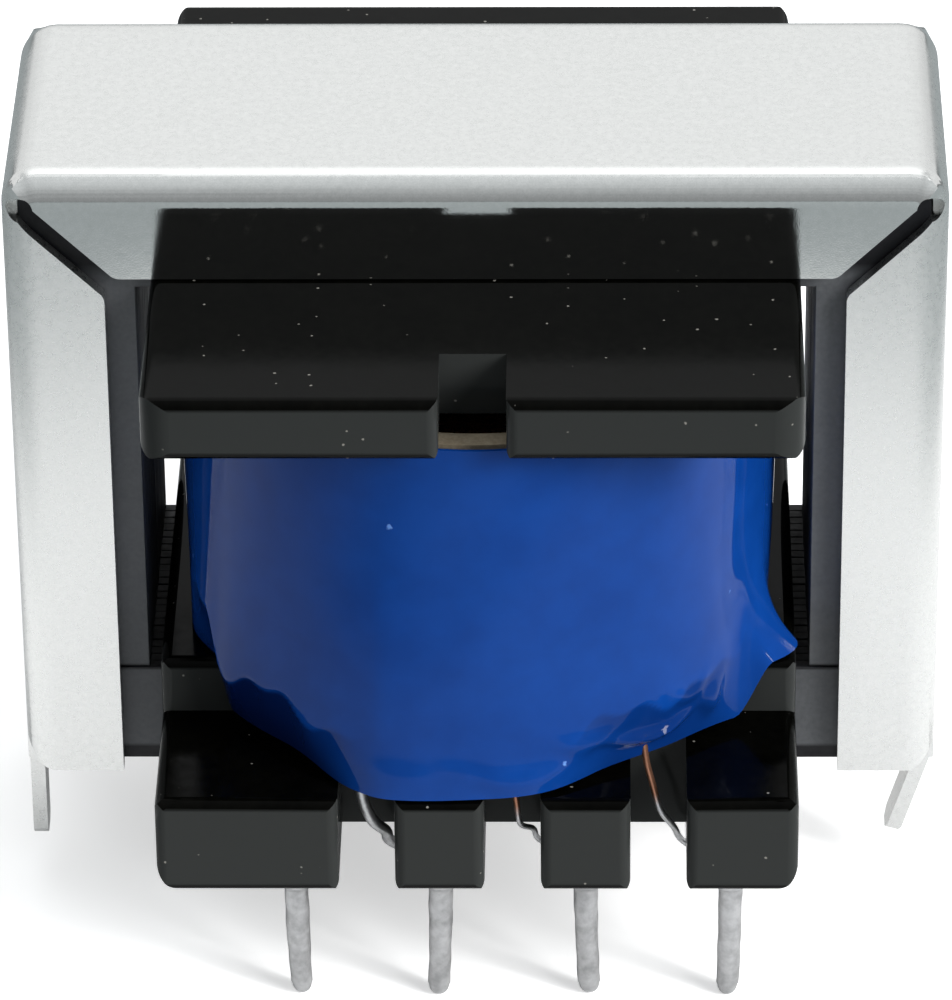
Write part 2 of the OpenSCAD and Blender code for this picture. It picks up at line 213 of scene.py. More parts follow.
# %% Mottling: two sizes of soft noise added up, from 0 to 1
mottle_group, g_in, g_out = new_group("soft_mottling", {"Scale": 1000.0, "Fine": 4.0}, ["Value"])
place = add_node(mottle_group, "ShaderNodeTexCoord")
coarse = add_node(mottle_group, "ShaderNodeTexNoise", {"Vector": place.outputs["Object"],
                  "Scale": g_in.outputs["Scale"], "Detail": 2.0, "Roughness": 0.55})
fine_scale = add_node(mottle_group, "ShaderNodeMath", {0: g_in.outputs["Scale"], 1: g_in.outputs["Fine"]},
                      operation="MULTIPLY")
fine = add_node(mottle_group, "ShaderNodeTexNoise", {"Vector": place.outputs["Object"],
                "Scale": fine_scale.outputs[0], "Detail": 3.0, "Roughness": 0.6})
both = add_node(mottle_group, "ShaderNodeMath", {0: coarse.outputs["Fac"], 1: fine.outputs["Fac"]},
                operation="ADD")
spread = add_node(mottle_group, "ShaderNodeMapRange", {"Value": both.outputs[0], "From Min": 0.7,
                  "From Max": 1.3, "To Min": 0.0, "To Max": 1.0})
mottle_group.links.new(spread.outputs[0], g_out.inputs["Value"])

# %% Dust: a few cells of a cell pattern each hold one small round speck
dust_group, g_in, g_out = new_group("dust_specks", {"Scale": 1200.0, "Size": 0.1, "Share": 0.3}, ["Mask"])
place = add_node(dust_group, "ShaderNodeTexCoord")
wobble = add_node(dust_group, "ShaderNodeTexNoise", {"Vector": place.outputs["Object"], "Scale": 9000.0,
                  "Detail": 1.0})
cells = add_node(dust_group, "ShaderNodeTexVoronoi", {"Vector": place.outputs["Object"],
                 "Scale": g_in.outputs["Scale"], "Randomness": 1.0})
ragged = add_node(dust_group, "ShaderNodeMath", {0: wobble.outputs["Fac"], 1: 0.16,
                  2: cells.outputs["Distance"]}, operation="MULTIPLY_ADD")
near = add_node(dust_group, "ShaderNodeMath", {0: ragged.outputs[0], 1: g_in.outputs["Size"]},
                operation="SUBTRACT")
speck = add_node(dust_group, "ShaderNodeMapRange", {"Value": near.outputs[0], "From Min": 0.08,
                 "From Max": 0.12, "To Min": 1.0, "To Max": 0.0})
chance = add_node(dust_group, "ShaderNodeSeparateColor", {"Color": cells.outputs["Color"]})
chosen = add_node(dust_group, "ShaderNodeMath", {0: chance.outputs[0], 1: g_in.outputs["Share"]},
                  operation="LESS_THAN")
mask = add_node(dust_group, "ShaderNodeMath", {0: speck.outputs[0], 1: chosen.outputs[0]},
                operation="MULTIPLY")
dust_group.links.new(mask.outputs[0], g_out.inputs["Mask"])

print("shared effects:", [group.name for group in bpy.data.node_groups])


# %% [markdown]
# ## One recipe for a finish
#
# A finish starts as a Principled shader with plain values. Mottling then moves the colour between
# two close tones and the roughness between two values, and a bump gives the fine relief. Uniform
# values stay on the shader's own sockets, where an exporter finds them.


# %% Make a finish
def new_finish(name, dark, light, rough, scale, bump_um=0.0, fine=4.0, **sockets):
    """A Principled material: colour from dark to light and roughness from rough[0] to rough[1] with the
    mottling, and relief of about bump_um micrometres."""
    material = bpy.data.materials.new(name)
    material.use_nodes = True
    tree = material.node_tree
    shader = next(n for n in tree.nodes if n.type == "BSDF_PRINCIPLED")
    for key, value in sockets.items():
        shader.inputs[key.replace("_", " ")].default_value = value
    mottle = use_group(tree, mottle_group, Scale=scale, Fine=fine)
    tone = mix_colors(tree, mottle.outputs["Value"], dark, light)
    tree.links.new(tone, shader.inputs["Base Color"])
    polish = add_node(tree, "ShaderNodeMapRange", {"Value": mottle.outputs["Value"], "To Min": rough[0],
                      "To Max": rough[1]})
    tree.links.new(polish.outputs[0], shader.inputs["Roughness"])
    relief = add_node(tree, "ShaderNodeBump", {"Height": mottle.outputs["Value"],
                      "Distance": bump_um * 1e-6, "Strength": 1.0})
    tree.links.new(relief.outputs[0], shader.inputs["Normal"])
    return material, tree, shader, tone


def add_dust(tree, shader, tone, color, scale, size, share):
    """Lays dust specks of one colour over a finish."""
    dust = use_group(tree, dust_group, Scale=scale, Size=size, Share=share)
    dusty = mix_colors(tree, dust.outputs["Mask"], tone, color)
    tree.links.new(dusty, shader.inputs["Base Color"])
    return dusty


# %% [markdown]
# ## The finishes
#
# Tin-plated steel is nearly white, with a satin grain that has no clear direction. The core sheets are
# dark, dull steel. The bobbin is a glossy black moulding that always carries a little dust. The tape is
# a smooth blue film. The wire is copper under enamel, and grey where it was dipped in solder.

# %% Tinned sheet steel, smoother on the upper lips, where the folding tool has pressed it
tinned, tree, shader, _ = new_finish(
    "tinned_sheet", (0.76, 0.765, 0.75), (0.85, 0.85, 0.835), (0.26, 0.33), 5200.0, 0.5, Metallic=1.0)
pressed = add_node(tree, "ShaderNodeAttribute", attribute_name="pressed")
rough = shader.inputs["Roughness"].links[0].from_socket
calm = add_node(tree, "ShaderNodeMix", {"Factor": pressed.outputs["Fac"], "A": rough, "B": 0.06},
                data_type="FLOAT")
tree.links.new(calm.outputs[0], shader.inputs["Roughness"])

# %% Dark core sheet, black along its lowest strip and at its joint, with painted shade near its top
# Black along the lowest strip and in the joint between the stacks; at the top, under the lips, painted shade.
JOINT_Z = 0.0072
core_steel, tree, shader, tone = new_finish(
    "core_sheet", (0.082, 0.086, 0.092), (0.120, 0.124, 0.132), (0.50, 0.65), 1800.0, 3.0, Metallic=0.3)
place = add_node(tree, "ShaderNodeTexCoord")
height = add_node(tree, "ShaderNodeSeparateXYZ", {"Vector": place.outputs["Object"]})
darkening = add_node(tree, "ShaderNodeMapRange", {"Value": height.outputs["Z"], "From Min": 0.00458,
                   "From Max": 0.00470, "To Min": 1.0, "To Max": 0.0})
from_joint = add_node(tree, "ShaderNodeMath", {0: height.outputs["Z"], 1: JOINT_Z}, operation="SUBTRACT")
to_joint = add_node(tree, "ShaderNodeMath", {0: from_joint.outputs[0]}, operation="ABSOLUTE")
glued = add_node(tree, "ShaderNodeMapRange", {"Value": to_joint.outputs[0], "From Min": 0.00005,
                 "From Max": 0.00012, "To Min": 1.0, "To Max": 0.0})
# painted shade: the sheets turn black near their top, where they lie in shade under the lips and in the mitred
# gaps
painted_shade_at_top = add_node(tree, "ShaderNodeMapRange", {"Value": height.outputs["Z"], "From Min": 0.0195,
                  "From Max": 0.0199, "To Min": 0.0, "To Max": 1.0})
lower_edge_and_painted_shade = add_node(tree, "ShaderNodeMath", {0: darkening.outputs[0], 1: painted_shade_at_top.outputs[0]},
                      operation="MAXIMUM")
dark_edges_and_painted_shade = add_node(tree, "ShaderNodeMath", {0: lower_edge_and_painted_shade.outputs[0], 1: glued.outputs[0]},
               operation="MAXIMUM")
tone = mix_colors(tree, dark_edges_and_painted_shade.outputs[0], tone, (0.006, 0.006, 0.008))
tree.links.new(tone, shader.inputs["Base Color"])

# %% Black moulding with dust, and painted light that makes its upright faces a little greyer
black, tree, shader, tone = new_finish(
    "black_moulding", (0.0006, 0.0006, 0.0004), (0.0016, 0.0016, 0.0012), (0.10, 0.18), 900.0, 1.0,
    IOR=1.14)
facing = add_node(tree, "ShaderNodeNewGeometry")
facing_z = add_node(tree, "ShaderNodeSeparateXYZ", {"Vector": facing.outputs["Normal"]})
levelness = add_node(tree, "ShaderNodeMath", {0: facing_z.outputs["Z"]}, operation="ABSOLUTE")
# painted light: faces that stand upright get a greyer colour than level ones
painted_light_on_uprights = add_node(tree, "ShaderNodeMapRange", {"Value": levelness.outputs[0], "From Min": 0.05,
                "From Max": 0.35, "To Min": 1.0, "To Max": 0.0})
tone = mix_colors(tree, painted_light_on_uprights.outputs[0], tone, (0.029, 0.031, 0.030))
tone = add_dust(tree, shader, tone, (0.22, 0.21, 0.19), 2100.0, 0.050, 0.50)

# %% Blue tape, with painted shade below the creases
tape_blue, tree, shader, tone = new_finish(
    "blue_tape", (0.002, 0.036, 0.205), (0.003, 0.045, 0.245), (0.03, 0.05), 260.0, 0.6, IOR=1.22)
# painted shade: an attribute of the tape's mesh darkens its colour below the creases
tape_shade_node = add_node(tree, "ShaderNodeAttribute", attribute_name="painted_tape_shade")
tone = mix_colors(tree, tape_shade_node.outputs["Fac"], tone, (0.001, 0.006, 0.045))
tone = add_dust(tree, shader, tone, (0.12, 0.25, 0.60), 900.0, 0.035, 0.16)

# %% Paper, film and enamelled wire
paper_tan, *_ = new_finish("wrap_paper", (0.26, 0.21, 0.14), (0.38, 0.32, 0.23), (0.7, 0.9), 3000.0, 5.0)
film_amber, *_ = new_finish("barrier_film", (0.50, 0.37, 0.12), (0.62, 0.48, 0.18), (0.2, 0.3), 800.0, 1.0)
enamel, *_ = new_finish("enamelled_wire", (0.13, 0.045, 0.020), (0.24, 0.09, 0.040), (0.22, 0.36), 2500.0,
                        1.0, Metallic=0.85)

# %% Solder-dipped tin, for the pins
dipped, *_ = new_finish(
    "dipped_tin", (0.38, 0.38, 0.385), (0.66, 0.66, 0.665), (0.34, 0.55), 1500.0, 7.0, fine=2.5,
    Metallic=0.9)

# %% Wire that is enamelled at one end and dipped at the other, mixed by the mesh's own attribute
lead_wire, tree, shader, tone = new_finish(
    "dipped_wire", (0.44, 0.44, 0.45), (0.66, 0.66, 0.67), (0.28, 0.45), 2500.0, 3.0, Metallic=0.85)
dipped_share = add_node(tree, "ShaderNodeAttribute", attribute_name="dipped")
tone = mix_colors(tree, dipped_share.outputs["Fac"], (0.42, 0.20, 0.125), tone)
tree.links.new(tone, shader.inputs["Base Color"])
print("finishes:", len(bpy.data.materials))

# %% [markdown]
# ## The shroud
#
# The real shroud is one blank of thin sheet, folded over the core. Its upper corners and the folds of
# its lips are wider arcs than the solid has. The solid already has the folds, the mitred gaps and the
# relief holes, so a merged copy of it is cut finely enough to bend, and NumPy moves its vertices.


# %% A joined copy of a CAD node
def joined_copy(name, node, planes=()):
    """Copies a node's mesh, joins its loose triangles and cuts it along the given planes, each a point
    in millimetres and a direction. Edges sharper than 35 degrees stay sharp in shading."""
    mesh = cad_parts[node].data.copy()
    mesh.name = name
    work = bmesh.new()
    work.from_mesh(mesh)
    bmesh.ops.remove_doubles(work, verts=work.verts, dist=1e-7)
    bmesh.ops.dissolve_limit(work, angle_limit=math.radians(0.5), verts=work.verts, edges=work.edges)
    for point, direction in planes:
        bmesh.ops.bisect_plane(work, geom=work.verts[:] + work.edges[:] + work.faces[:], dist=1e-8,
                               plane_co=Vector(point) * MM, plane_no=Vector(direction))
    work.to_mesh(mesh)
    work.free()
    if "custom_normal" in mesh.attributes:
        mesh.attributes.remove(mesh.attributes["custom_normal"])
    mesh.shade_smooth()
    mesh.set_sharp_from_angle(angle=math.radians(35))
    return mesh


def break_edges(piece, width_mm, segments=2):
    """Adds a narrow bevel on the sharp edges, and weighs the normals so that flat faces stay flat."""
    bevel = piece.modifiers.new("broken_edges", "BEVEL")
    bevel.width = width_mm * MM
    bevel.segments = segments
    bevel.limit_method = "ANGLE"
    bevel.angle_limit = math.radians(35)
    bevel.use_clamp_overlap = True
    weigh = piece.modifiers.new("flat_faces", "WEIGHTED_NORMAL")
    weigh.keep_sharp = True


# %% Cut the copy where its corners will bend
low, high = (np.array(corner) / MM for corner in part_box("shroud"))
half_w, half_d, top_z = (high[0] - low[0]) / 2, (high[1] - low[1]) / 2, high[2]
SOLID_R, CORNER_R, FOLD_R = 0.6, 1.03, 0.85
corner_x, corner_z = half_w - CORNER_R, top_z - CORNER_R
planes = [((side * corner_x, 0, corner_z), (-side * math.sin(a), 0, math.cos(a)))
          for side in (-1, 1) for a in np.linspace(0, math.pi / 2, 13)]
fold_x, fold_y, fold_z = half_w - FOLD_R, half_d - FOLD_R, top_z - FOLD_R
for front in (-1, 1):
    for a in np.linspace(0, math.pi / 2, 13):
        planes.append(((0, front * fold_y, fold_z), (0, -front * math.sin(a), math.cos(a))))
        for side in (-1, 1):
            planes.append(((side * fold_x, front * fold_y, 0),
                           (side * math.cos(a), -front * math.sin(a), 0)))
shroud_mesh = joined_copy("folded_shroud", "shroud", planes)


# %% Bend the corners and the folds wider
def wider_arc(p, q, radius):
    """In the quarter past the middle of the wanted arc, at angle a, the solid's outline, a square corner
    rounded by SOLID_R, lies at m (cos a + sin a) + sqrt(SOLID_R^2 - m^2 (sin a - cos a)^2) on its arc and
    at radius / max(cos a, sin a) on its flats, with m = radius - SOLID_R. Returns the radius over that."""
    a = np.arctan2(np.clip(q, 1e-9, None), np.clip(p, 1e-9, None))
    m = radius - SOLID_R
    on_arc = m * (np.cos(a) + np.sin(a)) + np.sqrt(
        np.clip(SOLID_R ** 2 - m ** 2 * (np.sin(a) - np.cos(a)) ** 2, 0, None))
    on_flat = radius / np.maximum(np.cos(a), np.sin(a))
    past_arc = np.minimum(on_flat * np.cos(a), on_flat * np.sin(a)) < m
    return np.where((p > 0) & (q > 0), radius / np.where(past_arc, on_flat, on_arc), 1.0)


points = np.zeros(len(shroud_mesh.vertices) * 3, np.float32)
shroud_mesh.vertices.foreach_get("co", points)
points = points.reshape(-1, 3).astype(float) / MM
# the folds: out is how far a point is past the fold's middle, towards the top or a side
out_x, out_z = np.abs(points[:, 0]) - fold_x, points[:, 2] - fold_z
out, out_y = np.maximum(out_x, out_z), np.abs(points[:, 1]) - fold_y
scale = wider_arc(out_y, out, FOLD_R)
toward = np.stack([np.clip(out_x, 0, None), np.clip(out_z, 0, None)], axis=1)
toward /= np.maximum(np.linalg.norm(toward, axis=1, keepdims=True), 1e-9)
points[:, 0] += np.sign(points[:, 0]) * toward[:, 0] * out * (scale - 1)
points[:, 2] += toward[:, 1] * out * (scale - 1)
points[:, 1] += np.sign(points[:, 1]) * out_y * (scale - 1)
# the upper corners, seen along Y
x, z = np.abs(points[:, 0]) - corner_x, points[:, 2] - corner_z
scale = wider_arc(x, z, CORNER_R)
points[:, 0] += np.sign(points[:, 0]) * x * (scale - 1)
points[:, 2] += z * (scale - 1)
# the lips hang above the mitred gaps, which run down at 45 degrees from the upper corners
above_mitre = points[:, 2] > top_z - (half_w - np.abs(points[:, 0])) - 0.35
on_lip = (np.abs(points[:, 1]) > fold_y) & above_mitre
shroud_mesh.vertices.foreach_set("co", (points * MM).astype(np.float32).ravel())
shroud_mesh.update()
pressed_share = on_lip * smooth_step((top_z - 0.08 - points[:, 2]) / 0.25)
shroud_mesh.attributes.new("pressed", "FLOAT", "POINT").data.foreach_set(
    "value", pressed_share.astype(np.float32))
shroud = add_piece("folded_shroud", shroud_mesh, tinned, "shroud", "shroud")
break_edges(shroud, 0.05)
print("corner radius", CORNER_R, "mm, fold radius", FOLD_R, "mm")

# %% [markdown]
# ## The core sheets
#
# A core is a stack of thin stamped sheets, and the lines between them show wherever its edge does. Each
# stack is made as real sheets: one outline in X and Z, drawn twice for the two faces of every sheet, at
# its own place along Y and shifted by a few hundredths, as loose sheets are when they are bonded.


# %% Stack of sheets
def sheet_stack(name, outline, y_from, y_to, count, slip, seed):
    """Sheet k lies between y_from + k * pitch and the same plus 0.95 pitch, moved in X and Z by up to
    slip. Its two faces are the outline, and its edges join them."""
    rng = np.random.default_rng(seed)
    outline = np.array(outline, float)
    sides = len(outline)
    pitch = (y_to - y_from) / count
    y = y_from + pitch * (np.arange(count)[:, None] + np.array([0.03, 0.97]))
    shift = rng.uniform(-slip, slip, (count, 1, 1, 2))
    flat = np.broadcast_to(outline, (count, 2, sides, 2)) + shift
    points = np.stack([flat[..., 0], np.broadcast_to(y[:, :, None], (count, 2, sides)), flat[..., 1]], -1)
    index = np.arange(count * 2 * sides).reshape(count, 2, sides)
    after = np.roll(index, -1, axis=2)
    edges = np.stack([index[:, 0], after[:, 0], after[:, 1], index[:, 1]], axis=-1).reshape(-1, 4)
    faces = edges.tolist() + index[:, 0].tolist() + index[:, 1, ::-1].tolist()
    mesh = bpy.data.meshes.new(name)
    mesh.from_pydata((points.reshape(-1, 3) * MM).tolist(), [], faces)
    return finish_mesh(mesh, 20)


# %% The E and I sheets
SHEETS, SLIP = 24, 0.012
e_low, e_high = (np.array(corner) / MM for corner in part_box("e_core"))
i_low, i_high = (np.array(corner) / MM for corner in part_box("i_core"))
leg, centre_leg, yoke = 3.0, 6.0, 3.0
e_w, window_top = e_high[0] - SLIP, e_high[2] - yoke
e_outline = [(-e_w, e_low[2] + SLIP), (-e_w + leg, e_low[2] + SLIP), (-e_w + leg, window_top),
             (-centre_leg / 2, window_top), (-centre_leg / 2, e_low[2] + SLIP),
             (centre_leg / 2, e_low[2] + SLIP), (centre_leg / 2, window_top), (e_w - leg, window_top),
             (e_w - leg, e_low[2] + SLIP), (e_w, e_low[2] + SLIP), (e_w, e_high[2] - SLIP),
             (-e_w, e_high[2] - SLIP)]
i_outline = [(-e_w, i_low[2] + SLIP), (e_w, i_low[2] + SLIP), (e_w, i_high[2] - SLIP),
             (-e_w, i_high[2] - SLIP)]
e_stack = add_piece("e_sheets", sheet_stack("e_sheets", e_outline, e_low[1], e_high[1], SHEETS, SLIP, 3),
                    core_steel, "core", "e_core")
i_stack = add_piece("i_sheets", sheet_stack("i_sheets", i_outline, i_low[1], i_high[1], SHEETS, SLIP, 5),
                    core_steel, "core", "i_core")
for stack in (e_stack, i_stack):
    break_edges(stack, 0.02, 1)

# %% [markdown]
# ## The bobbin
#
# The bobbin's solid already has its true form, with its rounded edges and moulded corners, so it stays
# and only gets its finish.

# %% Finish the bobbin
for material_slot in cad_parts["bobbin"].material_slots:
    material_slot.material = black
print("bobbin faces:", len(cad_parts["bobbin"].data.polygons))

# %% [markdown]
# ## The coil
#
# Tape pulled round a coil follows what is under it. At its top the outline is two half circles joined
# by straight sides. Lower down the winding sags and bulges to one side, and the tape's lower edge hangs
# over the end of the bobbin's flange in loose folds. So the outline is written as the distance from
# the middle in each direction, once for the top and once for the lower edge, and blended in between.
# Below a wavering crease the tape turns in towards the coil, and painted shade darkens it there.

# %% Outlines of the coil at its top and at its lower edge
AROUND = 480
turn = np.linspace(0, 2 * np.pi, AROUND, endpoint=False)
spool_low, spool_high = (np.array(corner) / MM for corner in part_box("primary_winding"))
tape_low, tape_high = (np.array(corner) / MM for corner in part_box("outer_tape"))


def reach(curve):
    """The distance from the middle to a closed curve in each direction of turn."""
    angle = np.arctan2(curve[:, 1], curve[:, 0])
    return np.interp(turn, angle, np.hypot(curve[:, 0], curve[:, 1]), period=2 * np.pi)


def two_half_circles(radius, centre_y):
    """Half circles of one radius round (0, centre_y) and (0, -centre_y), with straight sides."""
    t = np.linspace(-np.pi, np.pi, 721)[:-1]
    return np.stack([radius * np.cos(t), radius * np.sin(t) + centre_y * np.sign(np.sin(t))], axis=1)


top_reach = reach(two_half_circles(tape_high[0] + 0.2, 1.95))
# places along the lower edge, from the right side round the front to the left, in millimetres
edge_front = [(7.90, 0.0), (7.85, -2.0), (7.90, -3.9), (8.60, -5.5), (7.00, -7.0), (5.10, -8.60),
              (3.30, -9.50), (1.50, -10.25), (-0.20, -10.52), (-2.20, -10.52), (-3.20, -10.20),
              (-4.40, -9.50), (-6.20, -8.00), (-7.20, -6.75), (-7.75, -5.3), (-7.85, -3.5), (-7.85, -1.7)]
edge = np.array(edge_front + [(-x, -y) for x, y in edge_front])
edge_reach = reach(through(edge, 24, closed=True))
print("coil front at the top:", round(-top_reach[AROUND * 3 // 4], 2), "mm")


# %% Blend the outlines, and the tape's own height
def coil_reach(share):
    """The outline at a share of the height, 0 at the lower edge and 1 at the top. The blend leaves the
    lower edge's form quickly: its part is (1 - share) to the power 1.6, and to a much higher power at the
    right end, where only the very edge flares out."""
    degrees = np.degrees(turn)
    flare = np.exp(-((degrees - 330) / 13) ** 2) + np.exp(-((degrees - 150) / 13) ** 2)
    part = (1 - share) ** (1.6 + 9.0 * flare)
    return top_reach * (1 - part) + edge_reach * part


def on_outline(distance, z):
    """Points at a distance from the middle in each direction, at height z."""
    return np.stack([distance * np.cos(turn), distance * np.sin(turn), np.broadcast_to(z, distance.shape)],
                    axis=-1)


edge_y = np.abs(edge_reach * np.sin(turn))
skirt_end, flange_top = tape_low[2], spool_low[2] + 0.08
skirt_low = skirt_end - 0.22 * smooth_step((edge_y - 8.6) / 1.6)
lower_z = flange_top + (skirt_low - flange_top) * smooth_step((edge_y - 6.25) / 0.75)
print("the skirt hangs", round(flange_top - skirt_end, 2), "mm below the flange's top")


# %% Loose folds along the tape's lower edge
def folds(s, up):
    """How far the tape stands out, for a distance s along the outline from the front's middle and a
    height up above the lower edge. Each fold is a bump with a crest that runs along the edge: it
    rises as a bell curve in s, and falls off with height on both sides of the crest."""
    out = np.zeros(np.broadcast(s, up).shape)
    for middle, half_width, crest, thickness, height in FOLDS:
        along = np.exp(-((s - middle) / half_width) ** 2)
        bend = crest + 0.25 * ((s - middle) / half_width) ** 2
        out += height * along * np.exp(-((up - bend) / thickness) ** 2)
    return out


# each fold: middle along the outline, half width, height of its crest, its thickness, and how far out
FOLDS = [(5.0, 1.2, 0.62, 0.17, 0.26), (7.0, 0.40, 0.95, 0.42, 0.22), (3.2, 0.9, 1.10, 0.28, 0.15),
         (6.2, 0.5, 1.40, 0.22, 0.12), (1.2, 1.4, 0.45, 0.33, 0.12), (-1.6, 1.6, 0.6, 0.45, 0.06)]


def tucked(s, up):
    """How far the tape turns in below a crease, and how much painted shade it has there, for the same s and up.
    It turns in evenly from a crease whose height wavers with s, most at the left and less at the right."""
    left, right = np.exp(-((s + 6.9) / 3.1) ** 4), np.exp(-((s - 5.4) / 2.6) ** 4)
    crease = 1.75 + 0.22 * np.sin(1.9 * s + 0.6) + 0.14 * np.sin(4.3 * s) - 0.35 * np.exp(-(s / 3) ** 2)
    turned_in = (0.62 * left + 0.30 * right) * np.clip(1 - up / crease, 0, None)
    return turned_in, (0.9 * left + 0.5 * right) * smooth_step((crease - up) / 0.16)


# %% The tape: outer wall, and the inner wall a little inside it
ROWS, TAPE_T = 110, 0.10
share = np.linspace(0, 1, ROWS)[:, None]
height = tape_high[2] - 0.03 - lower_z[None, :]
z = lower_z[None, :] + share * height
outer = coil_reach(share)
mid = np.stack([coil_reach(0.3) * np.cos(turn), coil_reach(0.3) * np.sin(turn)], axis=1)
step = np.linalg.norm(np.roll(mid, -1, axis=0) - mid, axis=1)
along = np.concatenate([[0], np.cumsum(step)[:-1]])
front_s = along - along[AROUND * 3 // 4]
rear_s = (front_s + step.sum() / 2 + step.sum()) % step.sum()
rear_s = np.where(rear_s > step.sum() / 2, rear_s - step.sum(), rear_s)
waves = (0.020 * np.sin(3 * turn + 1.0) * np.sin(2.2 * np.pi * share)
         + 0.012 * np.sin(7 * turn + 4.0 * share) + 0.006 * np.sin(17 * turn - 9.0 * share))
outer = outer + waves
# painted shade below the creases, kept on the tape's mesh as an attribute
painted_tape_shade = np.zeros_like(outer)
for s in (front_s[None, :], rear_s[None, :]):
    turned_in, darkening = tucked(s, share * height)
    outer += folds(s, share * height) - turned_in
    painted_tape_shade += darkening
wall_out = on_outline(outer, z)
wall_in = on_outline(outer - TAPE_T, z)
section = np.concatenate([wall_out, wall_in[::-1]])
tape_mesh = surface("taped_wrap", section.transpose(1, 0, 2), True, True, 60)
tape_mesh.attributes.new("painted_tape_shade", "FLOAT", "POINT").data.foreach_set(
    "value", np.concatenate([painted_tape_shade, painted_tape_shade[::-1]]).T.ravel().astype(np.float32))
add_piece("taped_wrap", tape_mesh, tape_blue, "tape", "outer_tape")
print("one turn of the tape laid flat:", round(step.sum(), 1), "by", round(float(height.max()), 1), "mm")

# %% [markdown]
# ## Under the tape
#
# The notch in the bobbin's flange and the slots in its rails let the layers show. They are rings with
# the same outlines: paper, the outer winding, a film, and the inner winding on the bobbin's tube. The
# ends of the windings get a row of rounded ridges, one for each layer of wire.


# %% Rings between two outlines
def ring(name, far, near, z_from, z_to, layers=0, ridge=0.0):
    """A closed ring. Its section runs up the outer wall, in across the top, down the inner wall and out
    across the bottom; with layers, the ends rise by ridge times the absolute sine of the way across."""
    across = np.linspace(0, 1, max(2, layers * 5 + 1))[:, None]
    lift = ridge * np.abs(np.sin(np.pi * across * layers)) if layers else 0 * across
    down = far[None, :] + (near - far)[None, :] * across
    top = on_outline(down, z_to - ridge + lift)
    bottom = on_outline(down[::-1], z_from + ridge - lift[::-1])
    return surface(name, np.concatenate([top, bottom]).transpose(1, 0, 2), True, True, 50)


# %% Paper, windings and film
wrap_top, coil_top = tape_high[2] - 0.06, spool_high[2]
tube_low, tube_high = 3.80, 5.02
inner_reach = reach(two_half_circles(5.81, 2.5))
film_reach = reach(two_half_circles(5.79, 2.5))
primary_reach = reach(two_half_circles(5.60, 2.5))
tube_reach = np.minimum(tube_low / np.maximum(np.abs(np.cos(turn)), 1e-6),
                        tube_high / np.maximum(np.abs(np.sin(turn)), 1e-6))
inside = np.minimum(coil_reach(0.12), top_reach)
add_piece("paper_layer", ring("paper_layer", inside - 0.36, inside - 0.94, flange_top, wrap_top),
          paper_tan, "paper", "paper_wrap")
add_piece("outer_winding", ring("outer_winding", inside - 0.98, inner_reach, flange_top, coil_top - 0.8, 5,
          0.08), enamel, "copper", "secondary_winding")
add_piece("film_layer", ring("film_layer", film_reach, primary_reach + 0.02, flange_top, coil_top - 0.9),
          film_amber, "barrier", "winding_barrier")
add_piece("inner_winding", ring("inner_winding", primary_reach, tube_reach, flange_top, coil_top - 1.0, 10,
          0.08), enamel, "copper", "primary_winding")

# %% [markdown]
# ## Pins
#
# The pins were dipped in solder, so they are a little uneven, thicker towards the rail, and none stands
# quite straight. A pin is a profile turned round an axis that bends: each row of points is a circle
# round the axis at its own height, and its radius varies a little with angle and height.


# %% A turned and bent pin
def pin_surface(name, x, y, z_top, lean, root_r, seed):
    """Radius against height is a rounded tip, a slow taper, a fillet of solder and the root. The axis
    moves by lean times the square of the way down from the rail."""
    rng = np.random.default_rng(seed)
    seat = RAIL_FOOT
    tip = 0.27 * np.sin(np.linspace(0, np.pi / 2, 9)) ** 0.8
    tip_z = 0.30 * (1 - np.cos(np.linspace(0, np.pi / 2, 9)))
    shank_z = np.linspace(0.36, z_top, 90)
    below = np.clip(seat - shank_z, 0, None)
    shank = 0.325 - 0.025 * smooth_step(below / (seat - 0.3)) ** 2
    shank += (root_r - 0.33) * smooth_step((shank_z - (seat - 0.60)) / 0.20)
    z = np.concatenate([tip_z, shank_z, [z_top]])[:, None]
    radius = np.concatenate([tip, shank, [0.0]])[:, None]
    angle = np.linspace(0, 2 * np.pi, 33)[None, :-1]
    a, b, c = rng.uniform(0, 2 * np.pi, 3)
    uneven = 1 + 0.022 * np.sin(2 * angle + 2.1 * z + a) + 0.018 * np.sin(angle + 5.3 * z + b) \
        + 0.010 * np.sin(3 * angle - 9.0 * z + c)
    radius = radius * np.where(z < seat, uneven, 1)
    bent = lean * (np.clip(seat - z, 0, None) / seat) ** 2
    points = np.stack([x + bent + radius * np.cos(angle), y + 0.4 * bent + radius * np.sin(angle),
                       np.broadcast_to(z, radius.shape)], axis=-1)
    return surface(name, points, wrap_v=True, sharp_deg=60)


# %% Place the pins
RAIL_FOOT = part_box("bobbin")[0].z / MM
leans = {"front": (0.09, -0.10, 0.10, -0.06), "rear": (-0.06, 0.08, -0.05, 0.09)}
for row, leans_of_row in leans.items():
    for number, lean in enumerate(leans_of_row, 1):
        node = f"{row}_pin_{number}"
        low, high = (np.array(corner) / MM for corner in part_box(node))
        middle = (low + high) / 2
        name = f"{row}_dipped_pin_{number}"
        seed = number + 10 * (row == "rear")
        mesh = pin_surface(name, middle[0], middle[1], high[2], lean, (high[0] - low[0]) / 2, seed)
        add_piece(name, mesh, dipped, "pins", node)

# %% [markdown]
# ## Leads
#
# Each winding end comes out under the coil, goes down a slot in the rail and is soldered to the root of
# the next pin. A lead is a circle carried along a smooth curve. At each place the circle is
# turned as little as possible from the one before, so that the tube never twists.


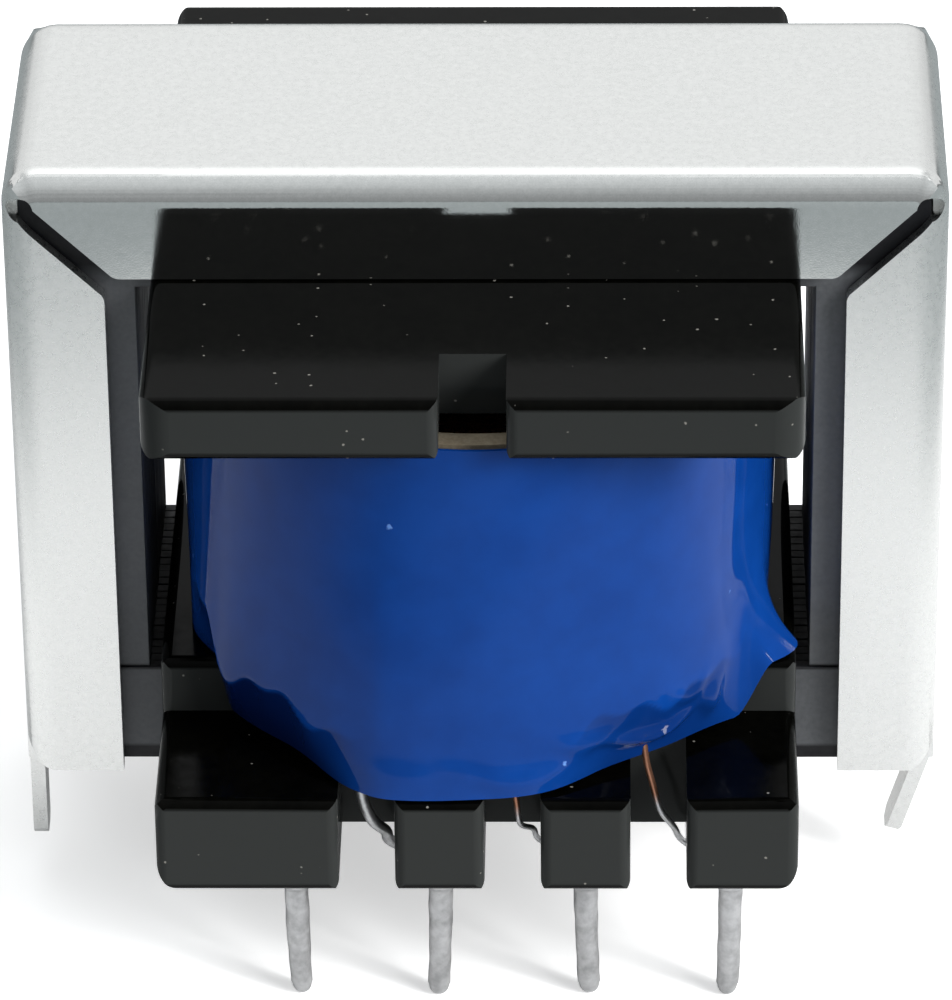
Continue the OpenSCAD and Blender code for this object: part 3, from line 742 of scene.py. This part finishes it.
# %% A tube along a curve
def tube(name, path, radius, sides=16):
    """A circle of the given radius round each point of the path, square to it. The first side direction
    is carried along by removing, at each step, its part along the path."""
    tangent = np.gradient(path, axis=0)
    tangent /= np.linalg.norm(tangent, axis=1, keepdims=True)
    side = np.cross(tangent[0], [0.3, 0.9, 0.1])
    sides_along = []
    for direction in tangent:
        side = side - direction * side.dot(direction)
        side = side / np.linalg.norm(side)
        sides_along.append(side)
    side = np.array(sides_along)
    up = np.cross(tangent, side)
    angle = np.linspace(0, 2 * np.pi, sides, endpoint=False)
    circle = (np.cos(angle)[None, :, None] * side[:, None] + np.sin(angle)[None, :, None] * up[:, None])
    return surface(name, path[:, None] + radius * circle, wrap_v=True, sharp_deg=70)


# %% The way of a lead from the coil to its pin
def lead_path(down, wire_r, pin_x, pin_y, root_r):
    """Given places down the slot, then straight to the root of the pin, just under the rail."""
    away = np.array([down[-1][0] - pin_x, down[-1][1] - pin_y])
    end = np.array([pin_x, pin_y]) + away / np.linalg.norm(away) * (root_r - 0.03)
    return evenly(through(down + [(end[0], end[1], RAIL_FOOT - wire_r - 0.03)], 16), 110)


def add_lead(node, down, wire_r, pin_node, flip, dipped_from):
    """Adds a lead, mirrored to the rear where flip is -1. Its attribute says where the solder starts."""
    low, high = (np.array(corner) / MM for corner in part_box(pin_node))
    pin_x, pin_y = (low[0] + high[0]) / 2, (low[1] + high[1]) / 2
    path = lead_path(down, wire_r, pin_x, pin_y * flip, (high[0] - low[0]) / 2)
    path[:, 1] *= flip
    name = node.replace("lead", "wire")
    mesh = tube(name, path, wire_r)
    sides = len(mesh.vertices) // len(path)
    along = np.repeat(np.linspace(0, 1, len(path)), sides)
    share = smooth_step((along - dipped_from) / 0.08)
    layer = mesh.attributes.new("dipped", "FLOAT", "POINT")
    layer.data.foreach_set("value", share.astype(np.float32))
    print(name, "length:", round(np.linalg.norm(np.diff(path, axis=0), axis=1).sum(), 1), "mm")
    return add_piece(name, mesh, lead_wire, "lead", node)


# %% Place the leads
LEADS = {
    1: (0.16, 0.20, [(-3.10, -9.00, 8.35), (-3.15, -9.05, 7.2), (-3.08, -9.05, 6.2), (-2.82, -8.95, 5.4),
                     (-2.50, -8.45, 4.72), (-2.42, -8.1, 4.2), (-2.10, -7.95, 3.86)]),
    2: (0.08, 0.35, [(0.95, -9.15, 8.42), (0.95, -9.20, 7.1), (1.05, -9.25, 6.2), (1.15, -9.10, 5.4),
                     (1.48, -8.25, 4.65), (1.58, -8.0, 4.2), (1.80, -7.95, 3.95)]),
    3: (0.09, 0.36, [(4.45, -8.45, 8.38), (4.50, -8.62, 7.3), (4.72, -8.70, 6.3), (4.92, -8.62, 5.5),
                     (5.28, -8.25, 4.70), (5.43, -8.0, 4.2), (5.70, -7.95, 3.90)]),
}
for row, flip in (("front", 1), ("rear", -1)):
    for number, (wire_r, dipped_from, down) in LEADS.items():
        add_lead(f"{row}_lead_{number}", down, wire_r, f"{row}_pin_{number + 1}", flip, dipped_from)

# %% [markdown]
# ## Floor, light and camera
#
# The part stands on a plain white floor, which shows in its metal and its tape. Away from the part the
# floor's colour fades to grey, a painted falloff of light, so what mirrors it at a distance is grey. A
# white wall stands behind, with a soft light above it, in a room that is dim at the horizon and bright
# overhead: together they make the top of the shroud bright and leave the black moulding dark. A narrow
# light on the right gives the highlights, and a softer one beside it, which no metal mirrors, makes the
# right of the coil brighter than the left. The camera is far away with a long lens, 32 degrees up.

# %% Floor: white to the camera, and to everything else a colour fading to grey with distance, as painted light falloff
floor_finish = bpy.data.materials.new("white_floor")
floor_finish.use_nodes = True
tree = floor_finish.node_tree
shader = next(n for n in tree.nodes if n.type == "BSDF_PRINCIPLED")
shader.inputs["Roughness"].default_value = 0.9
place = add_node(tree, "ShaderNodeTexCoord")
away = add_node(tree, "ShaderNodeVectorMath", {0: place.outputs["Object"]}, operation="LENGTH")
fade = add_node(tree, "ShaderNodeMapRange", {"Value": away.outputs["Value"], "From Min": 0.032,
                "From Max": 0.043, "To Min": 0.0, "To Max": 1.0}, interpolation_type="SMOOTHSTEP")
rays = add_node(tree, "ShaderNodeLightPath")
# painted light falloff: the colour other rays see goes from white near the part to grey further off
painted_falloff = mix_colors(tree, fade.outputs[0], (0.90, 0.90, 0.90), (0.27, 0.295, 0.30))
tree.links.new(mix_colors(tree, rays.outputs["Is Camera Ray"], painted_falloff, (0.9, 0.9, 0.9)),
               shader.inputs["Base Color"])
glow = add_node(tree, "ShaderNodeMath", {0: rays.outputs["Is Camera Ray"], 1: 0.50}, operation="MULTIPLY")
shader.inputs["Emission Color"].default_value = (1, 1, 1, 1)
tree.links.new(glow.outputs[0], shader.inputs["Emission Strength"])
floor_mesh = bpy.data.meshes.new("floor")
floor_mesh.from_pydata([(-2, -2, 0), (2, -2, 0), (2, 2, 0), (-2, 2, 0)], [], [(0, 1, 2, 3)])
floor_mesh.materials.append(floor_finish)
floor = bpy.data.objects.new("floor", floor_mesh)
bpy.context.scene.collection.objects.link(floor)
floor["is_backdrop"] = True


# %% Lights
def soft_light(name, place, size, radiance, mirrored=True):
    """A rectangular light that faces the part. Its power is pi times its area times its radiance."""
    lamp = bpy.data.lights.new(name, "AREA")
    lamp.shape = "RECTANGLE"
    lamp.size, lamp.size_y = size
    lamp.energy = math.pi * size[0] * size[1] * radiance
    light = bpy.data.objects.new(name, lamp)
    light.location = place
    aim = Vector((0, 0, 0.012)) - Vector(place)
    light.rotation_euler = aim.to_track_quat("-Z", "Y").to_euler()
    light.visible_glossy = mirrored
    bpy.context.scene.collection.objects.link(light)
    print(name, "power:", round(lamp.energy, 2), "W")


soft_light("white_wall", (0.0, 0.62, 0.30), (1.5, 0.50), 0.54)
soft_light("top_light", (0.0, 0.34, 0.66), (0.8, 0.44), 0.85)
soft_light("right_key", (0.40, -0.26, 0.34), (0.05, 0.22), 24.0)
soft_light("right_soft", (0.45, -0.30, 0.30), (0.30, 0.30), 14.0, mirrored=False)

# %% Room: dim at the horizon and bright overhead, by the square of the height in the sky
world = bpy.data.worlds.new("room")
world.use_nodes = True
tree = world.node_tree
sky = add_node(tree, "ShaderNodeTexCoord")
sky_height = add_node(tree, "ShaderNodeSeparateXYZ", {"Vector": sky.outputs["Generated"]})
squared = add_node(tree, "ShaderNodeMath", {0: sky_height.outputs["Z"], 1: sky_height.outputs["Z"]},
                   operation="MULTIPLY")
level_of_light = add_node(tree, "ShaderNodeMath", {0: squared.outputs[0], 1: 0.45, 2: 0.30},
                          operation="MULTIPLY_ADD")
background = tree.nodes["Background"]
background.inputs["Color"].default_value = (0.94, 0.98, 1.0, 1)
tree.links.new(level_of_light.outputs[0], background.inputs["Strength"])
bpy.context.scene.world = world

# %% Camera
elevation, yaw, roll = (math.radians(a) for a in (32.0, -1.15, -0.62))
distance, target = 0.198, Vector((0, 0, 0.0134))
forward = Vector((math.sin(yaw) * math.cos(elevation), math.cos(yaw) * math.cos(elevation),
                  -math.sin(elevation)))
level = Vector((math.cos(yaw), -math.sin(yaw), 0))
upward = level.cross(forward)
right = math.cos(roll) * level + math.sin(roll) * upward
up = -math.sin(roll) * level + math.cos(roll) * upward
camera_data = bpy.data.cameras.new("camera")
camera_data.sensor_width = 36.0
camera_data.lens = 260.9
camera_data.clip_start, camera_data.clip_end = 0.01, 10.0
camera = bpy.data.objects.new("camera", camera_data)
to_the_left, lower = 0.00013, 0.00293
seat_of_camera = target - forward * distance - level * to_the_left - upward * lower
turned = Matrix((right, up, -forward)).transposed().to_4x4()
camera.matrix_world = Matrix.Translation(seat_of_camera) @ turned
bpy.context.scene.collection.objects.link(camera)
bpy.context.scene.camera = camera
bpy.context.scene.view_settings.view_transform = "Standard"
print("lens:", camera_data.lens, "mm")

# %% [markdown]
# ## The sizes of both models
#
# The visual model should stay as big as the CAD model, so both boxes are printed side by side.

# %% Print the sizes of both models
sizes = {"cad": [list(corner) for corner in cad_bounds], "visual": [list(corner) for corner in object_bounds()]}
for label, corners in sizes.items():
    print(label, [round((b - a) / MM, 2) for a, b in zip(*corners)], "mm")
